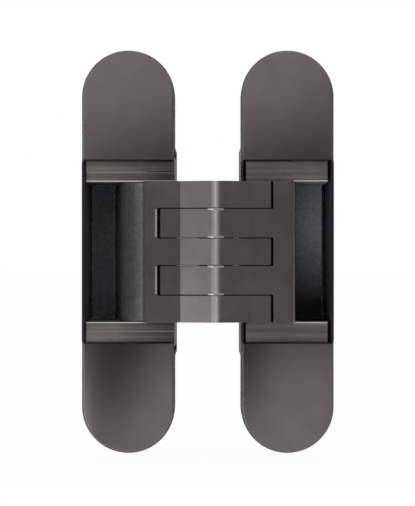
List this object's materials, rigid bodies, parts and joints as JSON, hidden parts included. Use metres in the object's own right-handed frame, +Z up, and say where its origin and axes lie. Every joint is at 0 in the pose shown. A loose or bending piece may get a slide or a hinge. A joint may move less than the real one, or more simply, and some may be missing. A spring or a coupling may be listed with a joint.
{
  "type": "concealed door hinge",
  "caption": "Concealed door hinge laid open flat: two round-ended mortise leaves with cover caps, joined by interleaved crossing arms that fold into the leaves' pockets.",
  "frame": {"origin": "middle of the frame leaf's fixing screws, on the face that seats in the mortise", "axes": "+X from the frame leaf to the door leaf when open flat, +Y into the wood, +Z up along the pins"},
  "size_m": [0.0813, 0.0421, 0.13],
  "materials": {
    "satin_graphite_zamak": "satin",
    "satin_graphite_cover": "satin",
    "graphite_carrier": "satin",
    "blasted_graphite_arm": "matte",
    "ground_steel": "satin",
    "black_acetal": "matte",
    "grey_bearing_polymer": "matte",
    "zinc_plated_screw": "satin"
  },
  "bodies": {
    "frame_leaf": {"frame_housing": "satin_graphite_zamak", "frame_top_cover": "satin_graphite_cover", "frame_bottom_cover": "satin_graphite_cover", "frame_clamp_screws": "zinc_plated_screw"},
    "frame_carrier": {"frame_carrier": "graphite_carrier", "frame_guide_tracks": "black_acetal", "frame_pivot_pin": "ground_steel"},
    "door_arm": {"door_arm": "blasted_graphite_arm", "frame_pivot_bushes": "grey_bearing_polymer", "main_pin": "ground_steel", "knuckle_washers": "grey_bearing_polymer", "door_slide_pin": "ground_steel", "door_slide_sleeves": "black_acetal"},
    "frame_arm": {"frame_arm": "blasted_graphite_arm", "main_pin_bushes": "grey_bearing_polymer", "door_pivot_bushes": "grey_bearing_polymer", "frame_slide_pin": "ground_steel", "frame_slide_sleeves": "black_acetal"},
    "door_carrier": {"door_carrier": "graphite_carrier", "door_guide_tracks": "black_acetal", "door_pivot_pin": "ground_steel"},
    "door_leaf": {"door_housing": "satin_graphite_zamak", "door_top_cover": "satin_graphite_cover", "door_bottom_cover": "satin_graphite_cover", "door_clamp_screws": "zinc_plated_screw"}
  },
  "joints": [
    {"name": "height_setting", "type": "slide", "parent": "frame_leaf", "child": "frame_carrier", "axis": [0, 0, 1], "range_m": [-0.0025, 0.0025]},
    {"name": "fold", "type": "hinge", "parent": "frame_carrier", "child": "door_arm", "pos_m": [0.01201, 0.006, 0], "axis": [0, 0, -1], "range_deg": [0, 90.4]},
    {"name": "main_pin_turn", "type": "hinge", "parent": "door_arm", "child": "frame_arm", "pos_m": [0.02815, -0.0135, 0], "axis": [0, 0, -1], "range_deg": [0, 0.98]},
    {"name": "door_pivot_turn", "type": "hinge", "parent": "frame_arm", "child": "door_carrier", "pos_m": [0.04173, 0.004, 0], "axis": [0, 0, -1], "range_deg": [0, 88.62]},
    {"name": "side_setting", "type": "slide", "parent": "door_carrier", "child": "door_leaf", "axis": [1, 0, 0], "range_m": [-0.0007, 0.0007]}
  ],
  "couplings": [
    {"joint": "main_pin_turn", "follows": "fold", "ratio": 0.010824},
    {"joint": "door_pivot_turn", "follows": "fold", "ratio": 0.98028}
  ]
}
